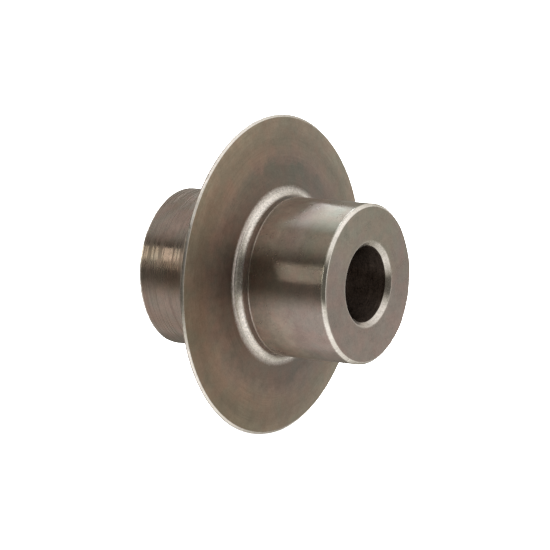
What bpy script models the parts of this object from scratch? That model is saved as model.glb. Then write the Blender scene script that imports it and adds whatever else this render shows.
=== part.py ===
"""Steel cutting wheel: a thin tapered disc held between two thick-walled hubs.

The wheel turns about the Y axis. Its centre is the origin, and the front hub points along -Y.
Every piece is turned, so each one is a section of (radius, height) points swept round its own
Z axis by a Screw modifier, and is then laid down along Y.
"""

import math

import bmesh
import bpy

MM = 0.001

# Driving dimensions
WHEEL_DIAMETER = 50.8 * MM
OVERALL_WIDTH = 35.2 * MM
HUB_DIAMETER = 25.2 * MM
BORE_DIAMETER = 12.0 * MM

# Disc: a ground edge, two shallow cones, and a filleted boss on both sides
EDGE_WIDTH = 0.64 * MM  # thickness at the shoulders of the ground edge
EDGE_DEPTH = 0.35 * MM  # how far the ground edge stands out past those shoulders
EDGE_FLAT = 0.16 * MM  # the blunt tip that grinding leaves
ROOT_THICKNESS = 3.2 * MM  # disc thickness under the fillets
FILLET_RADIUS = 1.45 * MM
BOSS_WIDTH = 6.6 * MM  # over the two boss end faces

# Hubs, and how each one's spigot sits in the disc
SEAM_GAP = 0.3 * MM  # the visible line between a boss and its hub
SPIGOT_DIAMETER = 19.0 * MM
PRESS_GAP = 0.1 * MM  # radial gap that stands in for the press fit
HUB_END_CHAMFER = 0.4 * MM
BORE_CHAMFER = 0.72 * MM
CORNER_CHAMFER = 0.15 * MM  # broken corners at the seam and on the spigot

SEGMENTS = 96
FILLET_STEPS = 6
SMOOTH_ANGLE = math.radians(15)
MERGE_DISTANCE = 0.001 * MM

# Base colour and roughness
TINTED_STEEL = ((0.17, 0.145, 0.12), 0.36)
TURNED_STEEL = ((0.20, 0.175, 0.155), 0.30)


def clear_scene():
    for obj in list(bpy.data.objects):
        bpy.data.objects.remove(obj, do_unlink=True)


def steel(name, colour, roughness):
    """A metallic Principled material."""
    material = bpy.data.materials.new(name)
    material.use_nodes = True
    shader = material.node_tree.nodes["Principled BSDF"]
    shader.inputs["Base Color"].default_value = (*colour, 1.0)
    shader.inputs["Metallic"].default_value = 1.0
    shader.inputs["Roughness"].default_value = roughness
    return material


def fillet_points(shoulder, boss_radius):
    """The arc that leaves the cone tangentially and ends square up the side of the boss."""
    centre_radius = boss_radius + FILLET_RADIUS
    centre_height = ROOT_THICKNESS / 2 + FILLET_RADIUS
    across = shoulder[0] - centre_radius
    rise = centre_height - shoulder[1]
    slope = math.atan2(rise, across) - math.asin(FILLET_RADIUS / math.hypot(across, rise))
    start = -math.pi / 2 - slope
    end = -math.pi
    points = []
    for step in range(FILLET_STEPS + 1):
        angle = start + (end - start) * step / FILLET_STEPS
        radius = centre_radius + FILLET_RADIUS * math.cos(angle)
        height = centre_height + FILLET_RADIUS * math.sin(angle)
        points.append((radius, height))
    return points


def disc_half_section():
    """Upper half of the disc's section, down its outer side and open where height is 0."""
    rim = WHEEL_DIAMETER / 2
    shoulder = (rim - EDGE_DEPTH, EDGE_WIDTH / 2)
    boss_radius = HUB_DIAMETER / 2
    boss_top = BOSS_WIDTH / 2
    bore = SPIGOT_DIAMETER / 2 + PRESS_GAP
    return [
        (bore, 0.0),
        (bore, boss_top - CORNER_CHAMFER),
        (bore + CORNER_CHAMFER, boss_top),
        (boss_radius - CORNER_CHAMFER, boss_top),
        (boss_radius, boss_top - CORNER_CHAMFER),
        *reversed(fillet_points(shoulder, boss_radius)),
        shoulder,
        (rim, EDGE_FLAT / 2),
        (rim, 0.0),
    ]


def hub_section():
    """Closed section of a hub standing on its spigot, with its end face on top."""
    outer = HUB_DIAMETER / 2
    top = OVERALL_WIDTH / 2
    seat = BOSS_WIDTH / 2 + SEAM_GAP
    spigot = SPIGOT_DIAMETER / 2
    bottom = SEAM_GAP / 2  # the two spigots stop just short of each other
    bore = BORE_DIAMETER / 2
    return [
        (bore + BORE_CHAMFER, top),
        (outer - HUB_END_CHAMFER, top),
        (outer, top - HUB_END_CHAMFER),
        (outer, seat + CORNER_CHAMFER),
        (outer - CORNER_CHAMFER, seat),
        (spigot, seat),
        (spigot, bottom + CORNER_CHAMFER),
        (spigot - CORNER_CHAMFER, bottom),
        (bore, bottom),
        (bore, top - BORE_CHAMFER),
    ]


def section_mesh(name, points, closed):
    """The section as a chain of edges in the XZ plane."""
    chain = bmesh.new()
    corners = [chain.verts.new((radius, 0.0, height)) for radius, height in points]
    for first, second in zip(corners, corners[1:]):
        chain.edges.new((first, second))
    if closed:
        chain.edges.new((corners[-1], corners[0]))
    mesh = bpy.data.meshes.new(name)
    chain.to_mesh(mesh)
    chain.free()
    return mesh


def add_screw(obj):
    screw = obj.modifiers.new("Turn", "SCREW")
    screw.axis = "Z"
    screw.angle = math.tau
    screw.steps = SEGMENTS
    screw.render_steps = SEGMENTS
    screw.use_merge_vertices = True
    screw.merge_threshold = MERGE_DISTANCE


def add_mirror(obj):
    mirror = obj.modifiers.new("Other side", "MIRROR")
    mirror.use_axis = (False, False, True)
    mirror.use_mirror_merge = True
    mirror.merge_threshold = MERGE_DISTANCE


def shape_from_modifiers(obj):
    """Swaps the section for the solid it sweeps out, smooth but for its turned corners."""
    section = obj.data
    evaluated = obj.evaluated_get(bpy.context.evaluated_depsgraph_get())
    solid = bpy.data.meshes.new_from_object(evaluated)
    solid.name = obj.name
    solid.shade_smooth()
    solid.set_sharp_from_angle(angle=SMOOTH_ANGLE)
    obj.modifiers.clear()
    obj.data = solid
    bpy.data.meshes.remove(section)


def add_turned_piece(name, points, material, collection, faces_front, mirrored):
    """Turns a section, and lays its Z axis down along -Y (faces_front) or along +Y."""
    mesh = section_mesh(f"{name}_section", points, closed=not mirrored)
    mesh.materials.append(material)
    obj = bpy.data.objects.new(name, mesh)
    collection.objects.link(obj)
    obj.rotation_euler.x = math.pi / 2 if faces_front else -math.pi / 2
    add_screw(obj)
    if mirrored:
        add_mirror(obj)
    shape_from_modifiers(obj)
    return obj


def build():
    clear_scene()
    wheel = bpy.data.collections.new("cutting_wheel")
    bpy.context.scene.collection.children.link(wheel)
    tinted = steel("tinted_steel", *TINTED_STEEL)
    turned = steel("turned_steel", *TURNED_STEEL)
    add_turned_piece("cutting_disc", disc_half_section(), tinted, wheel, True, mirrored=True)
    add_turned_piece("front_hub", hub_section(), turned, wheel, True, mirrored=False)
    add_turned_piece("rear_hub", hub_section(), turned, wheel, False, mirrored=False)


build()
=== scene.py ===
"""The looks of the steel cutting wheel: finely turned pieces, heat-tinted steel and a studio."""

import math

import bmesh
import bpy
from mathutils import Matrix, Vector, noise


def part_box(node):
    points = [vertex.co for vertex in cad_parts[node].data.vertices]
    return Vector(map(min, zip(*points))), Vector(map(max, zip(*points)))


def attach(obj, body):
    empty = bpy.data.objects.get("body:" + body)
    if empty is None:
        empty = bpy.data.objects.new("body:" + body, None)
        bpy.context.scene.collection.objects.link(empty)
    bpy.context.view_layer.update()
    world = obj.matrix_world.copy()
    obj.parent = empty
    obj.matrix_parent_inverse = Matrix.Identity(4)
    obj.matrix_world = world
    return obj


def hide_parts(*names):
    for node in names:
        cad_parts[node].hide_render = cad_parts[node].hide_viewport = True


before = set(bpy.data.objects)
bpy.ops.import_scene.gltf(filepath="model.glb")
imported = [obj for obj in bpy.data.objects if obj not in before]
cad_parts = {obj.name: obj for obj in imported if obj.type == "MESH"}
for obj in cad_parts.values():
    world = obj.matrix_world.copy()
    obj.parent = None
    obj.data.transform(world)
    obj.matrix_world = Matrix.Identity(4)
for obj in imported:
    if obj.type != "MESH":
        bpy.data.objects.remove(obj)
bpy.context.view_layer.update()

MM = 0.001

# The wheel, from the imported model. Its axle line is Y, and the front hub points along -Y.
DISC_LOW, DISC_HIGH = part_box("cutting_disc")
HUB_LOW, HUB_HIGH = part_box("front_hub")
EDGE_RADIUS = DISC_HIGH.x
HUB_RADIUS = HUB_HIGH.x
HUB_HEIGHT = -HUB_LOW.y
FLOOR_HEIGHT = DISC_LOW.z

# Sizes inside the wheel, the same as the CAD model's. Heights start at the disc's middle plane.
BORE_RADIUS = 6.0 * MM
BORE_CHAMFER = 0.72 * MM
HUB_END_CHAMFER = 0.4 * MM
SPIGOT_RADIUS = 9.5 * MM
SPIGOT_END = 0.15 * MM
DISC_BORE_RADIUS = 9.6 * MM
SHOULDER_HEIGHT = 0.32 * MM  # half the disc's thickness where the ground edge starts
SHOULDER_DEPTH = 0.35 * MM
TIP_HEIGHT = 0.08 * MM  # half the width of the blunt tip
ROOT_HEIGHT = 1.6 * MM  # half the disc's thickness under the fillets
FILLET_RADIUS = 1.45 * MM

# Details that the CAD model leaves out or draws coarser
SEAM_HEIGHT = 3.42 * MM  # the middle of the fine gap between the disc's boss and a hub
SEAM_WIDTH = 0.10 * MM
LIP_RISE = 0.05 * MM  # the slight burr on the hub's side of that gap
LIP_LENGTH = 0.22 * MM
WORN_MARGIN = 0.10 * MM  # how far the bare metal of a chamfer reaches past its corners
EDGE_NICK_REACH = 0.18 * MM  # how far the nicks reach from the cutting edge
RIM_NICK_REACH = 0.7 * MM  # and from the outer corner of a hub's end
MOUTH_NICK_REACH = 0.9 * MM  # and from the mouth of the bore

# The fillet's finish. A change is (where it starts, how long it takes), both as shares of the
# way from the boss to the cone.
BARE_CHANGE = (0.10, 0.30)
DULL_CHANGE = (0.76, 0.18)
MATT_CHANGE = (0.84, 0.12)
FILLET_BARE = 0.6  # how far the fillet is ground bare
FILLET_DULLED = 0.18  # and how much less at its foot
FILLET_FADE = 1.0 * MM  # the fillet's finish dies out this far down the cone
MATT_FADE_RATE = 2.5  # and its matt part this many times as fast

# The shallow waves that the turning tool leaves
WAVE_SPACING = 0.55 * MM
BROAD_WAVE_CHANGE = 0.9  # how much the broad waves change round the wheel
BROAD_WAVE_HEIGHT = 0.0016 * MM
FINE_WAVE_RATE = 2.7  # how many times as close the fine waves are as the broad ones
FINE_WAVE_CHANGE = 2.0
FINE_WAVE_HEIGHT = 0.0006 * MM

# The wavering and the dents of an exposed edge. A rate says how many of them a radian holds, a
# seed keeps one kind apart from the others, and a dent starts where its noise passes a threshold.
WAVER_RATE = 4.0
WAVER_SEED = 9.0
WAVER_DEPTH = 0.09 * MM
LARGE_DENT_RATE = 9.0
LARGE_DENT_THRESHOLD = 0.4
SMALL_DENT_RATE = 31.0
SMALL_DENT_SEED = 5.0
SMALL_DENT_THRESHOLD = 0.42
DENT_DEPTH = 0.4 * MM

# How finely the pieces are turned
DISC_STEPS = 560
HUB_STEPS = 600
RING_SPACING = 0.36 * MM
ARC_STEPS = 4
FILLET_STEPS = 18
FADE_STEPS = 5

# Which way a piece faces, and the seed of its waves and dents
FACES_FRONT = 1
FACES_REAR = -1
DISC_SEED = 3.0
FRONT_HUB_SEED = 11.0
REAR_HUB_SEED = 23.0

# The three parts of a finish, each from 0 to 1: how far the metal is ground bare, how dark it is,
# as in the bore and as painted shade on the disc's blunt tip, and how matt it is
FINISH_PARTS = ("ground", "bore", "matt")
BORE_FINISH = Vector((0.0, 1.0, 0.0))


# ---------------------------------------------------------------- turned pieces


class Corner:
    """A corner of a section: where it is, its rounding, and the finish of the side after it."""

    def __init__(self, radius, height, rounding=0.0, ground=0.0, bore=0.0, matt=0.0):
        self.place = Vector((radius, height))
        self.rounding = rounding
        self.finish = Vector((ground, bore, matt))


def straight_rings(start, end, finish):
    """Evenly spaced rings from start up to but not including end."""
    count = max(1, round((end - start).length / RING_SPACING))
    return [(start.lerp(end, step / count), finish) for step in range(count)]


def arc_rings(corner, before, after, finish_before):
    """Rings round a corner, on a parabola that leaves both sides smoothly."""
    reach = corner.rounding
    start = corner.place + (before - corner.place).normalized() * reach
    end = corner.place + (after - corner.place).normalized() * reach
    rings = []
    for step in range(ARC_STEPS):
        share = step / ARC_STEPS
        first = start.lerp(corner.place, share)
        second = corner.place.lerp(end, share)
        rings.append((first.lerp(second, share), finish_before.lerp(corner.finish, share)))
    return rings, end


def section_rings(corners):
    """Every ring of a closed section, as (place, finish)."""
    rings = []
    for index, corner in enumerate(corners):
        before = corners[index - 1]
        after = corners[(index + 1) % len(corners)]
        start = corner.place
        if corner.rounding > 0:
            arc, start = arc_rings(corner, before.place, after.place, before.finish)
            rings += arc
        end = after.place
        if after.rounding > 0:
            end = after.place + (corner.place - after.place).normalized() * after.rounding
        rings += straight_rings(start, end, corner.finish)
    return rings


def turning_waves(place, cosine, sine, seed):
    """Height of the shallow waves at a place of the section, in metres."""
    along = (place.x + place.y) / WAVE_SPACING
    in_broad = (along, cosine * BROAD_WAVE_CHANGE + seed, sine * BROAD_WAVE_CHANGE)
    in_fine = (along * FINE_WAVE_RATE, cosine * FINE_WAVE_CHANGE, sine * FINE_WAVE_CHANGE + seed)
    return noise.noise(in_broad) * BROAD_WAVE_HEIGHT + noise.noise(in_fine) * FINE_WAVE_HEIGHT


def edge_noise(cosine, sine, rate, seed):
    """Noise from -1 to 1 that changes along an edge at the given rate."""
    return noise.noise((cosine * rate, sine * rate, seed))


def nick_depth(cosine, sine, seed):
    """How deep an exposed edge is worn, in metres."""
    waver = edge_noise(cosine, sine, WAVER_RATE, seed + WAVER_SEED)
    large = edge_noise(cosine, sine, LARGE_DENT_RATE, seed) - LARGE_DENT_THRESHOLD
    small = edge_noise(cosine, sine, SMALL_DENT_RATE, seed + SMALL_DENT_SEED) - SMALL_DENT_THRESHOLD
    return waver * WAVER_DEPTH + (max(0.0, large) + max(0.0, small)) * DENT_DEPTH


def exposure(place, edges):
    """1 at one of the exposed edges, and down to 0 where none is within its reach."""
    return max(0.0, *(1.0 - (place - edge).length / reach for edge, reach in edges))


def circle_points(steps):
    """The cosine and sine of each step round a circle."""
    angles = [step * math.tau / steps for step in range(steps)]
    return [(math.cos(angle), math.sin(angle)) for angle in angles]


def turned_piece(name, corners, steps, facing, seed, edges):
    """Sweeps a section round the Y axis, and gives its vertices the finish as attributes.

    edges holds (place, reach) pairs: within reach of such a place, the metal has small nicks.
    """
    shape = bmesh.new()
    layers = [shape.verts.layers.float.new(part) for part in FINISH_PARTS]
    turns = circle_points(steps)
    grid = []
    for place, finish in section_rings(corners):
        exposed = exposure(place, edges)
        row = []
        for cosine, sine in turns:
            offset = turning_waves(place, cosine, sine, seed)
            if exposed > 0:
                offset -= nick_depth(cosine, sine, seed) * exposed
            radius = place.x + offset
            height = place.y + offset
            vert = shape.verts.new((-radius * cosine, -height * facing, radius * sine))
            for layer, amount in zip(layers, finish):
                vert[layer] = amount
            row.append(vert)
        grid.append(row)
    for index, row in enumerate(grid):
        following = grid[(index + 1) % len(grid)]
        for step in range(steps):
            ahead = (step + 1) % steps
            shape.faces.new((row[step], row[ahead], following[ahead], following[step]))
    bmesh.ops.recalc_face_normals(shape, faces=shape.faces)
    mesh = bpy.data.meshes.new(name)
    shape.to_mesh(mesh)
    shape.free()
    mesh.shade_smooth()
    piece = bpy.data.objects.new(name, mesh)
    bpy.context.scene.collection.objects.link(piece)
    return piece


def progress(share, change):
    """0 before the change and 1 after it, in a straight line between."""
    start, length = change
    return min(1.0, max(0.0, (share - start) / length))


def fillet_arc(shoulder):
    """The fillet's centre, and the angle that it sweeps from the boss down to the cone."""
    centre = Vector((HUB_RADIUS + FILLET_RADIUS, ROOT_HEIGHT + FILLET_RADIUS))
    across = shoulder.x - centre.x
    rise = centre.y - shoulder.y
    slope = math.atan2(rise, across) - math.asin(FILLET_RADIUS / math.hypot(across, rise))
    return centre, math.pi / 2 - slope


def fillet_corners(shoulder):
    """The root of the disc, from the boss down to where its finish dies out on the cone."""
    centre, sweep = fillet_arc(shoulder)
    corners = []
    for step in range(FILLET_STEPS + 1):
        share = step / FILLET_STEPS
        angle = math.pi + sweep * share
        place = centre + FILLET_RADIUS * Vector((math.cos(angle), math.sin(angle)))
        bare = FILLET_BARE * progress(share, BARE_CHANGE)
        dulled = FILLET_DULLED * progress(share, DULL_CHANGE)
        matt = progress(share, MATT_CHANGE)
        corners.append(Corner(place.x, place.y, ground=bare - dulled, matt=matt))
    foot = corners[-1]
    outward = (shoulder - foot.place).normalized()
    for step in range(1, FADE_STEPS + 1):
        share = step / FADE_STEPS
        place = foot.place + outward * FILLET_FADE * share
        ground = foot.finish.x * (1.0 - share)
        matt = foot.finish.z * max(0.0, 1.0 - MATT_FADE_RATE * share)
        corners.append(Corner(place.x, place.y, ground=ground, matt=matt))
    return corners


def disc_side():
    """One side of the disc's section, from the end of its bore out to the cutting edge."""
    boss_top = SEAM_HEIGHT - SEAM_WIDTH / 2
    shoulder = Vector((EDGE_RADIUS - SHOULDER_DEPTH, SHOULDER_HEIGHT))
    return [
        Corner(DISC_BORE_RADIUS, boss_top, rounding=0.05 * MM),
        Corner(HUB_RADIUS, boss_top, rounding=0.06 * MM, ground=0.2),
        *fillet_corners(shoulder),
        Corner(shoulder.x, shoulder.y, rounding=0.06 * MM, ground=1.0),
        # The blunt tip takes most of the bore's dark finish: painted shade.
        Corner(EDGE_RADIUS, TIP_HEIGHT, rounding=0.05 * MM, ground=0.1, bore=0.85),
    ]


def mirrored(side):
    """The same corners in the other order, on the other side of height 0.

    The last of them is the far end of the disc's bore, so the side after it is the bore.
    """
    finishes = [BORE_FINISH] + [corner.finish for corner in side[:-1]]
    other = []
    for corner, finish in zip(reversed(side), reversed(finishes)):
        other.append(Corner(corner.place.x, -corner.place.y, corner.rounding, *finish))
    return other


def make_disc():
    side = disc_side()
    edges = [(Vector((EDGE_RADIUS, 0.0)), EDGE_NICK_REACH)]
    corners = side + mirrored(side)
    return turned_piece("turned_disc", corners, DISC_STEPS, FACES_FRONT, DISC_SEED, edges)


def make_hub(name, facing, seed):
    """A hub's section runs from its spigot out to the seam, up its side and down the bore."""
    seat = SEAM_HEIGHT + SEAM_WIDTH / 2
    chamfer_start = HUB_HEIGHT - HUB_END_CHAMFER
    chamfer_end = HUB_RADIUS - HUB_END_CHAMFER
    bore_mouth = BORE_RADIUS + BORE_CHAMFER
    corners = [
        Corner(SPIGOT_RADIUS, SPIGOT_END, rounding=0.1 * MM),
        Corner(SPIGOT_RADIUS, seat),
        Corner(HUB_RADIUS + LIP_RISE, seat, rounding=0.03 * MM, ground=0.42),
        Corner(HUB_RADIUS, seat + LIP_LENGTH, rounding=0.05 * MM),
        Corner(HUB_RADIUS, chamfer_start - WORN_MARGIN, ground=0.5),
        Corner(HUB_RADIUS, chamfer_start, rounding=0.09 * MM, ground=1.0),
        Corner(chamfer_end, HUB_HEIGHT, rounding=0.10 * MM, ground=0.4),
        Corner(chamfer_end - WORN_MARGIN, HUB_HEIGHT),
        Corner(bore_mouth + WORN_MARGIN, HUB_HEIGHT, ground=0.3),
        Corner(bore_mouth, HUB_HEIGHT, rounding=0.08 * MM, ground=0.52),
        Corner(BORE_RADIUS, HUB_HEIGHT - BORE_CHAMFER, rounding=0.04 * MM, bore=1.0),
        Corner(BORE_RADIUS, SPIGOT_END, bore=1.0),
    ]
    rim = Vector((HUB_RADIUS, HUB_HEIGHT))
    mouth = Vector((BORE_RADIUS, HUB_HEIGHT))
    edges = [(rim, RIM_NICK_REACH), (mouth, MOUTH_NICK_REACH)]
    return turned_piece(name, corners, HUB_STEPS, facing, seed, edges)


# ---------------------------------------------------------------- node trees

RISING = (0.0, 1.0)
FALLING = (1.0, 0.0)


def rgba(red, green, blue):
    return (red, green, blue, 1.0)


class Graph:
    """Short calls for building a node tree. Each call but node and put returns an output."""

    def __init__(self, tree):
        self.tree = tree
        tree.nodes.clear()

    def node(self, kind, inputs=None, **settings):
        made = self.tree.nodes.new(kind)
        for name, value in settings.items():
            setattr(made, name, value)
        for key, value in (inputs or {}).items():
            self.put(made.inputs[key], value)
        return made

    def put(self, socket, value):
        if isinstance(value, bpy.types.NodeSocket):
            self.tree.links.new(value, socket)
        else:
            socket.default_value = value

    def math(self, operation, *values):
        made = self.node("ShaderNodeMath", operation=operation)
        for socket, value in zip(made.inputs, values):
            self.put(socket, value)
        return made.outputs[0]

    def add(self, first, second):
        return self.math("ADD", first, second)

    def subtract(self, first, second):
        return self.math("SUBTRACT", first, second)

    def multiply(self, first, second):
        return self.math("MULTIPLY", first, second)

    def length(self, first, second):
        """The length of a step of first one way and second square to it."""
        return self.math("SQRT", self.add(self.multiply(first, first), self.multiply(second, second)))

    def around_zero(self, pattern, spread):
        """A noise pattern as an offset of at most half the spread either way."""
        return self.multiply(self.subtract(pattern, 0.5), spread)

    def ramp(self, value, span, levels=RISING):
        """A smooth step from one level to the other as value crosses the span."""
        inputs = {
            "Value": value,
            "From Min": span[0],
            "From Max": span[1],
            "To Min": levels[0],
            "To Max": levels[1],
        }
        return self.node("ShaderNodeMapRange", inputs, interpolation_type="SMOOTHSTEP").outputs[0]

    def mix(self, share, first, second, blend="MIX"):
        """Two colours blended. The node has sockets for every data type, and these are its colours'."""
        made = self.node("ShaderNodeMix", data_type="RGBA", blend_type=blend)
        for socket, value in zip((made.inputs[0], made.inputs[6], made.inputs[7]), (share, first, second)):
            self.put(socket, value)
        return made.outputs[2]

    def dye(self, colour, by):
        """A colour multiplied by another one."""
        return self.mix(1.0, colour, by, "MULTIPLY")

    def grey(self, value):
        """The colour whose three channels are all the value."""
        return self.node("ShaderNodeCombineColor", {0: value, 1: value, 2: value}).outputs[0]

    def vector(self, operation, first, second=None, scale=None):
        made = self.node("ShaderNodeVectorMath", operation=operation)
        self.put(made.inputs[0], first)
        if second is not None:
            self.put(made.inputs[1], second)
        if scale is not None:
            self.put(made.inputs["Scale"], scale)
        return made.outputs[0]

    def gradient(self, value, stops):
        """A colour for each value, from rising (value, colour) stops."""
        low, high = stops[0][0], stops[-1][0]
        share = self.node("ShaderNodeMapRange", {"Value": value, "From Min": low, "From Max": high})
        band = self.node("ShaderNodeValToRGB", {"Fac": share.outputs[0]})
        elements = band.color_ramp.elements
        elements[0].color = stops[0][1]
        elements[1].color = stops[-1][1]
        for place, colour in stops[1:-1]:
            elements.new((place - low) / (high - low)).color = colour
        return band.outputs["Color"]

    def noise(self, vector, scale, detail=2.0, roughness=0.5, w=None):
        inputs = {"Vector": vector, "Scale": scale, "Detail": detail, "Roughness": roughness}
        if w is not None:
            inputs["W"] = w
        kind = "4D" if w is not None else "3D"
        return self.node("ShaderNodeTexNoise", inputs, noise_dimensions=kind).outputs[0]

    def bump(self, height, distance, normal=None):
        inputs = {"Height": height, "Distance": distance}
        if normal is not None:
            inputs["Normal"] = normal
        return self.node("ShaderNodeBump", inputs).outputs[0]


# ---------------------------------------------------------------- steel

# The widths of the patterns in the steel
BLOTCH_WIDTH = 6.0 * MM
STAIN_WIDTH = 3.2 * MM
CLOUD_WIDTH = 1.5 * MM
GRAIN_WIDTH = 0.30 * MM
BROAD_RING_WIDTH = 1.6 * MM
FINE_RING_WIDTH = 0.22 * MM
STREAK_WIDTH = 0.22 * MM
STAIN_SHIFT = (0.1, 0.2, 0.3)  # keeps the stains apart from the blotches


class TurnedSurface:
    """Where a point is on the wheel: how far from the axle line, and how far along it from the
    disc's middle plane; its height over the axle line, z; and the way round it, as a cosine that
    is 1 towards +X and a sine that is 1 at the top.
    """

    def __init__(self, graph):
        self.graph = graph
        self.place = graph.node("ShaderNodeTexCoord").outputs["Object"]
        x, y, z = graph.node("ShaderNodeSeparateXYZ", {0: self.place}).outputs
        self.radius = graph.length(x, z)
        self.along = graph.math("ABSOLUTE", y)
        self.z = z
        self.cosine = graph.math("DIVIDE", x, self.radius)
        self.sine = graph.math("DIVIDE", z, self.radius)

    def rings(self, width, wander, detail=2.0, roughness=0.5):
        """Noise in rings of about this width. wander is how much it changes round the wheel."""
        graph = self.graph
        scale = 1.0 / width
        inputs = {
            "X": graph.multiply(self.radius, scale),
            "Y": graph.multiply(self.along, scale),
            "Z": graph.multiply(self.cosine, wander),
        }
        vector = graph.node("ShaderNodeCombineXYZ", inputs).outputs[0]
        return graph.noise(vector, 1.0, detail, roughness, w=graph.multiply(self.sine, wander))


class SteelNoise:
    """The patterns that every piece's steel is coloured and roughened by."""

    def __init__(self, graph, surface):
        place = surface.place
        shifted = graph.vector("ADD", place, STAIN_SHIFT)
        self.blotches = graph.noise(place, 1 / BLOTCH_WIDTH, detail=3.0, roughness=0.55)
        self.stains = graph.noise(shifted, 1 / STAIN_WIDTH, detail=3.0, roughness=0.6)
        self.clouds = graph.noise(place, 1 / CLOUD_WIDTH, detail=5.0, roughness=0.65)
        self.grain = graph.noise(place, 1 / GRAIN_WIDTH, detail=2.0, roughness=0.7)
        self.broad_rings = surface.rings(BROAD_RING_WIDTH, wander=0.6)
        self.fine_rings = surface.rings(FINE_RING_WIDTH, wander=4.0, detail=3.0, roughness=0.6)


BARE_STEEL = rgba(0.92, 0.865, 0.805)
BORE_STEEL = rgba(0.19, 0.145, 0.12)

# The disc's temper colours, by distance from the axle line
TEMPER_RINGS = [
    (13.0 * MM, rgba(0.195, 0.153, 0.129)),
    (16.5 * MM, rgba(0.191, 0.147, 0.121)),
    (18.6 * MM, rgba(0.244, 0.186, 0.151)),
    (20.5 * MM, rgba(0.271, 0.204, 0.155)),
    (22.0 * MM, rgba(0.250, 0.197, 0.149)),
    (23.5 * MM, rgba(0.267, 0.212, 0.161)),
    (25.4 * MM, rgba(0.290, 0.234, 0.175)),
]

# How the blotches, clouds and stains push the disc's colours about
BLOTCH_PUSH = 7 * MM
CLOUD_PUSH = 2 * MM
STAIN_PUSH = 3 * MM

# A span is where a colour or tone changes: (from, to), as a height above the axle line, a
# distance out from it, or the cosine or sine of the way round it. Levels are the tones there.
COOL_BROWN = rgba(0.178, 0.154, 0.123)
COOL_HEIGHTS = (11 * MM, 19 * MM)
COOL_RADII = (17.3 * MM, 18.7 * MM)

WARM_HUE = rgba(1.035, 1.0, 0.955)
COLD_HUE = rgba(0.95, 1.0, 1.03)
HUE_COSINES = (-0.6, 0.4)

# Painted shade and painted light on the disc by the way round: on the inner part's -X half it is darker high
# up and lighter low down, and on the outer part darker at the lower left and lighter on the right.
INNER_RADII = (20 * MM, 22 * MM)
INNER_COSINES = (-0.3, 0.4)
TOP_SINES = (0.5, 0.9)
TOP_PAINTED_SHADE = (1.0, 0.93)
BOTTOM_SINES = (-0.8, -0.2)
BOTTOM_PAINTED_LIGHT = (1.09, 1.0)

OUTER_RADII = (21.5 * MM, 23.5 * MM)
OUTER_DIRECTION = (0.8, 0.6)  # the cosine and sine that the outer tones are measured along
OUTER_SPAN = (-1.0, -0.65)
OUTER_PAINTED_SHADE_AND_LIGHT = (0.86, 1.05)
RIGHT_COSINES = (0.2, 0.65)
RIGHT_PAINTED_LIGHT = (1.0, 1.1)


def inner_painted_shading(graph, surface):
    """The painted shade and painted light of the disc's inner part on its -X half, darker high up and
    lighter low down, and the share that each point takes.
    """
    top = graph.ramp(surface.sine, TOP_SINES, TOP_PAINTED_SHADE)
    tones = graph.multiply(top, graph.ramp(surface.sine, BOTTOM_SINES, BOTTOM_PAINTED_LIGHT))
    left = graph.ramp(surface.cosine, INNER_COSINES, FALLING)
    share = graph.multiply(left, graph.ramp(surface.radius, INNER_RADII, FALLING))
    return graph.grey(tones), share


def outer_painted_shading(graph, surface):
    """The same for the disc's outer part, all the way round: painted shade at the lower left and painted
    light elsewhere, most on the right.
    """
    across, up = OUTER_DIRECTION
    side = graph.add(graph.multiply(surface.cosine, across), graph.multiply(surface.sine, up))
    right = graph.ramp(surface.cosine, RIGHT_COSINES, RIGHT_PAINTED_LIGHT)
    tones = graph.multiply(graph.ramp(side, OUTER_SPAN, OUTER_PAINTED_SHADE_AND_LIGHT), right)
    return graph.grey(tones), graph.ramp(surface.radius, OUTER_RADII)


def disc_tint(graph, surface, pattern):
    """Temper rings, with a cooler patch high up next to the hub, and painted shade and painted light by the
    way round.
    """
    blotches = graph.around_zero(pattern.blotches, BLOTCH_PUSH)
    push = graph.add(blotches, graph.around_zero(pattern.clouds, CLOUD_PUSH))
    tint = graph.gradient(graph.add(surface.radius, push), TEMPER_RINGS)
    high = graph.ramp(graph.add(surface.z, push), COOL_HEIGHTS)
    stained_radius = graph.add(surface.radius, graph.around_zero(pattern.stains, STAIN_PUSH))
    near_hub = graph.ramp(stained_radius, COOL_RADII, FALLING)
    tint = graph.mix(graph.multiply(high, near_hub), tint, COOL_BROWN)
    tint = graph.dye(tint, graph.mix(graph.ramp(surface.cosine, HUE_COSINES), WARM_HUE, COLD_HUE))
    # Lays the painted shade and painted light over the tint.
    for tones, share in (inner_painted_shading(graph, surface), outer_painted_shading(graph, surface)):
        tint = graph.mix(share, tint, graph.dye(tint, tones))
    return tint


# The front hub's colours. Lengths along it start at the disc's middle plane.
BROWN = rgba(0.395, 0.328, 0.282)
PINKISH = rgba(0.372, 0.303, 0.272)
PINKISH_LENGTHS = (7 * MM, 12 * MM)

FACE_PINKISH = rgba(0.350, 0.287, 0.256)
FACE_LENGTHS = (17.2 * MM, 17.5 * MM)

GREENISH = rgba(0.335, 0.297, 0.245)
GREENISH_HEIGHTS = (0.0, 7 * MM)
GREENISH_LENGTHS = (10 * MM, 13.5 * MM)

# Pale tan painted light on the hub next to the disc, low down and high up, where the disc hides part of what
# the hub mirrors.
PAINTED_LIGHT_TAN = rgba(0.55, 0.46, 0.39)
LOW_PAINTED_LIGHT_HEIGHTS = (-6 * MM, -2 * MM)
LOW_PAINTED_LIGHT_LENGTHS = (8 * MM, 12.5 * MM)
HIGH_PAINTED_LIGHT_HEIGHTS = (4 * MM, 8.5 * MM)
HIGH_PAINTED_LIGHT_LENGTHS = (6.5 * MM, 9 * MM)
HIGH_PAINTED_LIGHT_SHARES = (0.6, 0.0)

LENGTH_PUSH = 6 * MM
HEIGHT_PUSH = 30 * MM


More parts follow.
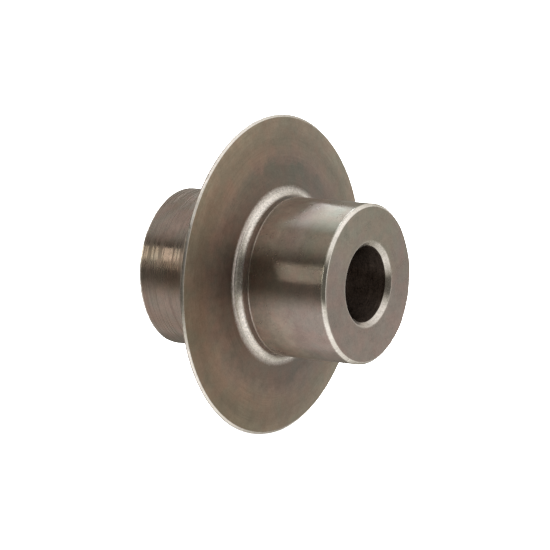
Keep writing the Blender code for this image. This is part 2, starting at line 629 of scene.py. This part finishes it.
def front_tint(graph, surface, pattern):
    """Brown next to the disc and pinkish further out, greenish on top, and pale tan painted light next to
    the disc, low down and high up.
    """
    along = graph.add(surface.along, graph.around_zero(pattern.stains, LENGTH_PUSH))
    tint = graph.mix(graph.ramp(along, PINKISH_LENGTHS), BROWN, PINKISH)
    tint = graph.mix(graph.ramp(surface.along, FACE_LENGTHS), tint, FACE_PINKISH)
    pushed_z = graph.add(surface.z, graph.around_zero(pattern.blotches, HEIGHT_PUSH))
    high = graph.ramp(pushed_z, GREENISH_HEIGHTS)
    tint = graph.mix(graph.multiply(high, graph.ramp(along, GREENISH_LENGTHS)), tint, GREENISH)
    # Painted light: the pale tan next to the disc, low down and then high up.
    low = graph.ramp(surface.z, LOW_PAINTED_LIGHT_HEIGHTS, FALLING)
    tint = graph.mix(graph.multiply(low, graph.ramp(along, LOW_PAINTED_LIGHT_LENGTHS, FALLING)), tint, PAINTED_LIGHT_TAN)
    high = graph.ramp(surface.z, HIGH_PAINTED_LIGHT_HEIGHTS)
    near_disc = graph.ramp(along, HIGH_PAINTED_LIGHT_LENGTHS, HIGH_PAINTED_LIGHT_SHARES)
    return graph.mix(graph.multiply(high, near_disc), tint, PAINTED_LIGHT_TAN)


# The rear hub's colours
DARK_PINKISH = rgba(0.258, 0.205, 0.173)
DARK_BROWN = rgba(0.235, 0.178, 0.143)
DARK_BROWN_BLOTCHES = (0.4, 0.62)
# A paler pinkish band: painted highlight at the height of the bright strip that the hub's side mirrors.
PAINTED_HIGHLIGHT_PINKISH = rgba(0.335, 0.270, 0.238)
PAINTED_HIGHLIGHT_START_HEIGHTS = (4 * MM, 7 * MM)
PAINTED_HIGHLIGHT_END_HEIGHTS = (9 * MM, 11 * MM)


def rear_tint(graph, surface, pattern):
    """Two dark tints in blotches, and a paler band of painted highlight at the height of its bright strip.
    """
    tint = graph.mix(graph.ramp(pattern.blotches, DARK_BROWN_BLOTCHES), DARK_PINKISH, DARK_BROWN)
    above = graph.ramp(surface.z, PAINTED_HIGHLIGHT_START_HEIGHTS)
    below = graph.ramp(surface.z, PAINTED_HIGHLIGHT_END_HEIGHTS, FALLING)
    return graph.mix(graph.multiply(above, below), tint, PAINTED_HIGHLIGHT_PINKISH)


# What the patterns do to every steel's colour: the spans of the noise where a change happens, and
# the spreads of the tones round 1
STAIN_SPAN = (0.36, 0.64)
COOL_STAIN = rgba(0.95, 1.0, 1.0)
WARM_STAIN = rgba(1.05, 0.99, 0.99)
MARKED_SPAN = (0.42, 0.6)  # the blotches where the fine rings show
MARKED_SHARES = (0.35, 1.0)
BROAD_RING_SPREAD = 0.2
GRAIN_SPREAD = 0.45
BORE_RING_SPREAD = 1.6
BORE_GRAIN_SPREAD = 0.9

# Where the tinted film is worn off
WORN_SPAN = (0.15, 0.75)
WORN_GRAIN_SPREAD = 0.25
LEAST_GROUND = 0.001  # no film is worn off where the metal isn't ground at all

# What the finish and the clouds do to the scattering and the roughness
MATT_SCATTER = 0.14
CLOUD_ROUGHNESS_SPREAD = 0.12
BORE_ROUGHNESS = 0.10
MATT_ROUGHNESS = 0.42

# The relief of the grain, and the satin streaks
GRAIN_DEPTH = 0.0007 * MM
STREAK_DEPTH = 0.02 * MM
STREAK_SPAN = (0.40, 0.54)
STREAK_ROUGHNESS = (0.17, 0.0)

# The highlights are stretched across the turning marks
ANISOTROPY = 0.9
ANISOTROPY_TURN = 0.25


def shade_of(graph, pattern, bore, ring_contrast, mottle):
    """The tones of the marks in the steel, round 1."""
    marked = graph.ramp(pattern.blotches, MARKED_SPAN, MARKED_SHARES)
    marks = graph.multiply(graph.around_zero(pattern.fine_rings, ring_contrast), marked)
    shade = graph.add(1.0, marks)
    shade = graph.add(shade, graph.around_zero(pattern.broad_rings, BROAD_RING_SPREAD))
    shade = graph.add(shade, graph.around_zero(pattern.clouds, mottle))
    shade = graph.add(shade, graph.around_zero(pattern.grain, GRAIN_SPREAD))
    bore_rings = graph.around_zero(pattern.fine_rings, BORE_RING_SPREAD)
    bore_marks = graph.add(bore_rings, graph.around_zero(pattern.grain, BORE_GRAIN_SPREAD))
    return graph.add(shade, graph.multiply(bore_marks, bore))


def steel(
    name, tint_of, roughness, groove_depth, ring_contrast, polish, film=0.0, mottle=0.55, streaked=False
):
    """Heat-tinted turned steel, with bare ground edges and a dark bore.

    groove_depth and ring_contrast are the depth and the tones of the fine turning marks, polish is
    how much smoother bare metal is, film is how much of the light the tinted film scatters, and
    mottle is the spread of the cloudy tones. Streaked steel has satin streaks round it as well.
    """
    material = bpy.data.materials.new(name)
    material.use_nodes = True
    graph = Graph(material.node_tree)
    surface = TurnedSurface(graph)
    pattern = SteelNoise(graph, surface)
    finish = [graph.node("ShaderNodeAttribute", attribute_name=part) for part in FINISH_PARTS]
    ground, bore, matt = [attribute.outputs["Fac"] for attribute in finish]

    tint = tint_of(graph, surface, pattern)
    tint = graph.dye(tint, graph.mix(graph.ramp(pattern.stains, STAIN_SPAN), COOL_STAIN, WARM_STAIN))
    speckled = graph.add(ground, graph.around_zero(pattern.grain, WORN_GRAIN_SPREAD))
    is_ground = graph.math("GREATER_THAN", ground, LEAST_GROUND)
    worn = graph.multiply(graph.ramp(speckled, WORN_SPAN), is_ground)
    colour = graph.mix(worn, tint, BARE_STEEL)
    # The bore's dark colour; on the disc's blunt tip it is painted shade.
    colour = graph.mix(bore, colour, BORE_STEEL)
    shade = shade_of(graph, pattern, bore, ring_contrast, mottle)
    colour = graph.dye(colour, graph.grey(shade))

    scattered = graph.multiply(graph.subtract(1.0, worn), film)
    scattered = graph.add(scattered, graph.multiply(matt, MATT_SCATTER))

    rough = graph.add(roughness, graph.around_zero(pattern.clouds, CLOUD_ROUGHNESS_SPREAD))
    rough = graph.subtract(rough, graph.multiply(ground, polish))
    rough = graph.add(rough, graph.multiply(bore, BORE_ROUGHNESS))
    rough = graph.add(rough, graph.multiply(matt, MATT_ROUGHNESS))

    normal = graph.bump(pattern.fine_rings, groove_depth)
    if streaked:
        streaks = surface.rings(STREAK_WIDTH, wander=1.0, detail=0.0)
        rough = graph.add(rough, graph.ramp(streaks, STREAK_SPAN, STREAK_ROUGHNESS))
        normal = graph.bump(streaks, STREAK_DEPTH, normal)
    normal = graph.bump(pattern.grain, GRAIN_DEPTH, normal)

    inputs = {
        "Base Color": colour,
        "Metallic": graph.subtract(1.0, scattered),
        "Roughness": rough,
        "Anisotropic": ANISOTROPY,
        "Anisotropic Rotation": ANISOTROPY_TURN,
        "Normal": normal,
        "Tangent": graph.node("ShaderNodeTangent", direction_type="RADIAL", axis="Y").outputs[0],
    }
    shader = graph.node("ShaderNodeBsdfPrincipled", inputs)
    graph.node("ShaderNodeOutputMaterial", {"Surface": shader.outputs[0]})
    return material


# ---------------------------------------------------------------- studio

CAMERA_AZIMUTH = math.radians(-55.9)
CAMERA_ELEVATION = math.radians(8.8)
CAMERA_DISTANCE = 458.4 * MM
FOCAL_LENGTH = 189.4
SENSOR_WIDTH = 36.0
AIM_RIGHT = 0.05 * MM
AIM_UP = -0.05 * MM
CLIP_NEAR = 1 * MM
CLIP_FAR = 50.0


def direction(azimuth, elevation):
    """Unit vector towards a viewer: azimuth 0 is the viewer at -Y, and +90 degrees is at +X."""
    return Vector(
        (
            math.sin(azimuth) * math.cos(elevation),
            -math.cos(azimuth) * math.cos(elevation),
            math.sin(elevation),
        )
    )


def add_camera():
    data = bpy.data.cameras.new("camera")
    data.lens = FOCAL_LENGTH
    data.sensor_width = SENSOR_WIDTH
    data.clip_start = CLIP_NEAR
    data.clip_end = CLIP_FAR
    camera = bpy.data.objects.new("camera", data)
    bpy.context.scene.collection.objects.link(camera)
    towards = direction(CAMERA_AZIMUTH, CAMERA_ELEVATION)
    camera.rotation_euler = towards.to_track_quat("Z", "Y").to_euler()
    axes = camera.rotation_euler.to_matrix()
    aim = axes @ Vector((AIM_RIGHT, AIM_UP, 0.0))
    camera.location = aim + towards * CAMERA_DISTANCE
    bpy.context.scene.camera = camera


# The two strips stand to the left of the wheel, and the softbox leans over it, at an angle that
# starts at -X and passes over the top.
STRIP_X = -60 * MM
STRIP_COLOUR = rgba(1.0, 0.98, 0.84)
STRIP_STRENGTH = 3.6
SOFTBOX_ANGLE = math.radians(113)
SOFTBOX_DISTANCE = 62 * MM
SOFTBOX_ACROSS = -10.3 * MM
SOFTBOX_Y = 25.1 * MM
SOFTBOX_COLOUR = rgba(0.90, 1.0, 1.06)
SOFTBOX_STRENGTH = 5.3


def add_card(name, centre, faces, size, colour, strength, fade):
    """A glowing card that only reflections see. Its size is how far it reaches along Y and across it.

    The glow rises from nothing to its full strength between the two places in fade, which are
    shares of the way across, where the card reaches from -0.5 to 0.5.
    """
    facing = Vector(faces).normalized()
    along = Vector((0.0, 1.0, 0.0))
    turn = Matrix((along, facing.cross(along), facing)).transposed()
    bpy.ops.mesh.primitive_plane_add(size=1.0)
    card = bpy.context.object
    card.name = name
    card.matrix_world = Matrix.LocRotScale(Vector(centre), turn.to_quaternion(), Vector((*size, 1.0)))
    material = bpy.data.materials.new(name)
    material.use_nodes = True
    graph = Graph(material.node_tree)
    place = graph.node("ShaderNodeTexCoord").outputs["Object"]
    across = graph.node("ShaderNodeSeparateXYZ", {0: place}).outputs["Y"]
    faded = graph.ramp(across, fade, (0.0, strength))
    glow = graph.node("ShaderNodeEmission", {"Color": colour, "Strength": faded})
    graph.node("ShaderNodeOutputMaterial", {"Surface": glow.outputs[0]})
    card.data.materials.append(material)
    card.visible_camera = False
    card.visible_diffuse = False
    card.visible_shadow = False


def add_cards():
    """Small bright cards close to the wheel, each placed where only one hub's side mirrors it."""
    add_card(
        "strip_front",
        centre=(STRIP_X, 27.6 * MM, 20 * MM),
        faces=(1, 0, 0),
        size=(10.1 * MM, 31 * MM),
        colour=STRIP_COLOUR,
        strength=STRIP_STRENGTH,
        fade=(0.5, 0.1),
    )
    add_card(
        "strip_rear",
        centre=(STRIP_X, 54 * MM, 23.8 * MM),
        faces=(1, 0, 0),
        size=(16 * MM, 25.5 * MM),
        colour=STRIP_COLOUR,
        strength=STRIP_STRENGTH,
        fade=(-0.5, -0.22),
    )
    towards = Vector((-math.cos(SOFTBOX_ANGLE), 0.0, math.sin(SOFTBOX_ANGLE)))
    across = Vector((towards.z, 0.0, -towards.x))
    add_card(
        "softbox_top",
        centre=towards * SOFTBOX_DISTANCE + across * SOFTBOX_ACROSS + Vector((0.0, SOFTBOX_Y, 0.0)),
        faces=-towards,
        size=(10.2 * MM, 69.4 * MM),
        colour=SOFTBOX_COLOUR,
        strength=SOFTBOX_STRENGTH,
        fade=(-0.8, 0.22),
    )


FLOOR_SIZE = 12.0
PAPER_SCALE = 900.0  # fibres in a metre of the floor's paper
PAPER_SPAN = (0.3, 0.7)
PAPER_TONES = (0.93, 0.95)
PAPER_ROUGHNESS = 0.5
FLOOR_LIGHT_ANGLE = math.radians(150)
FLOOR_LIGHT_ENERGY = 14.0


def add_floor():
    bpy.ops.mesh.primitive_plane_add(size=FLOOR_SIZE, location=(0.0, 0.0, FLOOR_HEIGHT))
    floor = bpy.context.object
    floor.name = "floor"
    material = bpy.data.materials.new("floor_paper")
    material.use_nodes = True
    graph = Graph(material.node_tree)
    place = graph.node("ShaderNodeTexCoord").outputs["Object"]
    fibres = graph.noise(place, PAPER_SCALE, detail=3.0)
    colour = graph.grey(graph.ramp(fibres, PAPER_SPAN, PAPER_TONES))
    shader = graph.node("ShaderNodeBsdfDiffuse", {"Color": colour, "Roughness": PAPER_ROUGHNESS})
    graph.node("ShaderNodeOutputMaterial", {"Surface": shader.outputs[0]})
    floor.data.materials.append(material)
    floor.visible_glossy = False


def add_floor_light():
    """A very soft overhead light that keeps the floor white, and that the steel doesn't reflect."""
    data = bpy.data.lights.new("floor_light", "SUN")
    data.angle = FLOOR_LIGHT_ANGLE
    data.energy = FLOOR_LIGHT_ENERGY
    light = bpy.data.objects.new("floor_light", data)
    bpy.context.scene.collection.objects.link(light)
    light.visible_glossy = False


# What the steel sees round it: for each azimuth in degrees, as in direction(), the brightness from
# straight down to straight up as (sine of the elevation, brightness) pairs.
WALLS = {
    "left_back": (
        -124.0,
        ((-1.0, 0.85), (-0.8, 1.0), (-0.54, 0.98), (-0.42, 0.7), (-0.29, 0.38), (-0.17, 0.22), (0.15, 0.2),
         (0.3, 0.13), (0.48, 0.12), (0.63, 0.38), (0.72, 0.54), (0.8, 0.62), (1.0, 0.6)),
    ),
    "left": (
        -75.0,
        ((-1.0, 0.85), (-0.5, 0.95), (-0.35, 0.5), (-0.2, 0.12), (0.43, 0.08), (0.67, 0.36), (0.9, 0.62),
         (1.0, 0.62)),
    ),
    "left_front": (
        -38.0,
        ((-1.0, 0.85), (-0.75, 1.0), (-0.59, 0.9), (-0.39, 0.52), (-0.27, 0.2), (-0.17, 0.1), (0.15, 0.08),
         (0.36, 0.09), (0.56, 0.58), (0.75, 0.95), (1.0, 0.75)),
    ),
    "front": (
        -12.0,
        ((-1.0, 0.8), (-0.7, 0.95), (-0.4, 0.55), (-0.2, 0.12), (0.12, 0.08), (0.25, 0.1), (0.42, 0.4),
         (0.75, 1.0), (1.0, 0.8)),
    ),
    "front_right": (
        20.0,
        ((-1.0, 0.8), (-0.7, 0.8), (-0.4, 0.5), (-0.25, 0.5), (-0.13, 0.85), (0.1, 0.95), (0.43, 0.85),
         (0.77, 1.0), (1.0, 0.8)),
    ),
    "right_front": (
        57.0,
        ((-1.0, 0.8), (-0.6, 0.66), (-0.27, 0.58), (-0.15, 0.57), (0.1, 0.7), (0.5, 0.82), (0.77, 0.95),
         (1.0, 0.8)),
    ),
    "right": (
        85.0,
        ((-1.0, 0.75), (-0.8, 0.34), (-0.55, 0.3), (-0.15, 1.15), (0.1, 1.0), (0.24, 0.4), (0.55, 0.56),
         (1.0, 0.75)),
    ),
    "right_back": (
        125.0,
        ((-1.0, 0.75), (-0.78, 0.46), (-0.6, 0.32), (-0.41, 0.23), (-0.2, 0.33), (-0.04, 0.48), (0.29, 0.34),
         (0.43, 0.45), (0.65, 0.58), (1.0, 0.62)),
    ),
    "back": (
        180.0,
        ((-1.0, 0.8), (-0.8, 0.9), (-0.4, 0.85), (0.0, 1.0), (0.5, 0.8), (0.8, 0.62), (1.0, 0.6)),
    ),
}
WALL_FOCUS = 16.0  # the higher, the harder the change from one wall to the next
LEAST_WEIGHT = 0.0005  # every wall counts a little, so that the weights never add up to nothing
LEAST_LEVEL = 0.001  # keeps the division from failing straight up and straight down

# A bright part of the studio is nearly neutral and a dark one brown.
DARK_TONE = (1.0, 0.95, 0.78)
BRIGHT_TONE = (1.0, 0.99, 0.97)


def studio_colour(brightness):
    tone = [dark + (bright - dark) * brightness for dark, bright in zip(DARK_TONE, BRIGHT_TONE)]
    return rgba(*(channel * brightness for channel in tone))


def add_world():
    """White to the camera, and the studio's walls to everything else."""
    world = bpy.data.worlds.new("studio")
    bpy.context.scene.world = world
    world.use_nodes = True
    graph = Graph(world.node_tree)
    looking = graph.node("ShaderNodeTexCoord").outputs["Generated"]
    x, y, z = graph.node("ShaderNodeSeparateXYZ", {0: looking}).outputs
    level = graph.add(graph.length(x, y), LEAST_LEVEL)
    total = (0.0, 0.0, 0.0)
    weights = 0.0
    for degrees, stops in WALLS.values():
        towards = direction(math.radians(degrees), 0.0)
        along = graph.add(graph.multiply(x, towards.x), graph.multiply(y, towards.y))
        facing = graph.math("MAXIMUM", graph.math("DIVIDE", along, level), 0.0)
        weight = graph.add(graph.math("POWER", facing, WALL_FOCUS), LEAST_WEIGHT)
        band = graph.gradient(z, [(height, studio_colour(brightness)) for height, brightness in stops])
        total = graph.vector("ADD", total, graph.vector("SCALE", band, scale=weight))
        weights = graph.add(weights, weight)
    studio = graph.vector("SCALE", total, scale=graph.math("DIVIDE", 1.0, weights))
    seen = graph.node("ShaderNodeLightPath").outputs["Is Camera Ray"]
    colour = graph.mix(seen, studio, rgba(1.0, 1.0, 1.0))
    background = graph.node("ShaderNodeBackground", {"Color": colour})
    graph.node("ShaderNodeOutputWorld", {"Surface": background.outputs[0]})


# ---------------------------------------------------------------- the whole


def adopt(piece, node, material):
    """Gives a piece its material, and lets it stand for its CAD node."""
    piece.data.materials.append(material)
    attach(piece, "root")
    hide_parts(node)


def add_wheel():
    disc_steel = steel(
        "tinted_disc_steel",
        disc_tint,
        roughness=0.36,
        groove_depth=0.010 * MM,
        ring_contrast=0.5,
        polish=0.26,
        film=0.04,
        mottle=0.36,
    )
    front_steel = steel(
        "front_hub_steel",
        front_tint,
        roughness=0.29,
        groove_depth=0.008 * MM,
        ring_contrast=0.2,
        polish=0.12,
    )
    rear_steel = steel(
        "rear_hub_steel",
        rear_tint,
        roughness=0.22,
        groove_depth=0.010 * MM,
        ring_contrast=0.2,
        polish=0.12,
        streaked=True,
    )
    adopt(make_disc(), "cutting_disc", disc_steel)
    front_hub = make_hub("turned_front_hub", FACES_FRONT, FRONT_HUB_SEED)
    adopt(front_hub, "front_hub", front_steel)
    rear_hub = make_hub("turned_rear_hub", FACES_REAR, REAR_HUB_SEED)
    adopt(rear_hub, "rear_hub", rear_steel)


add_wheel()
add_camera()
add_world()
add_floor()
add_floor_light()
add_cards()
bpy.context.scene.view_settings.view_transform = "Standard"
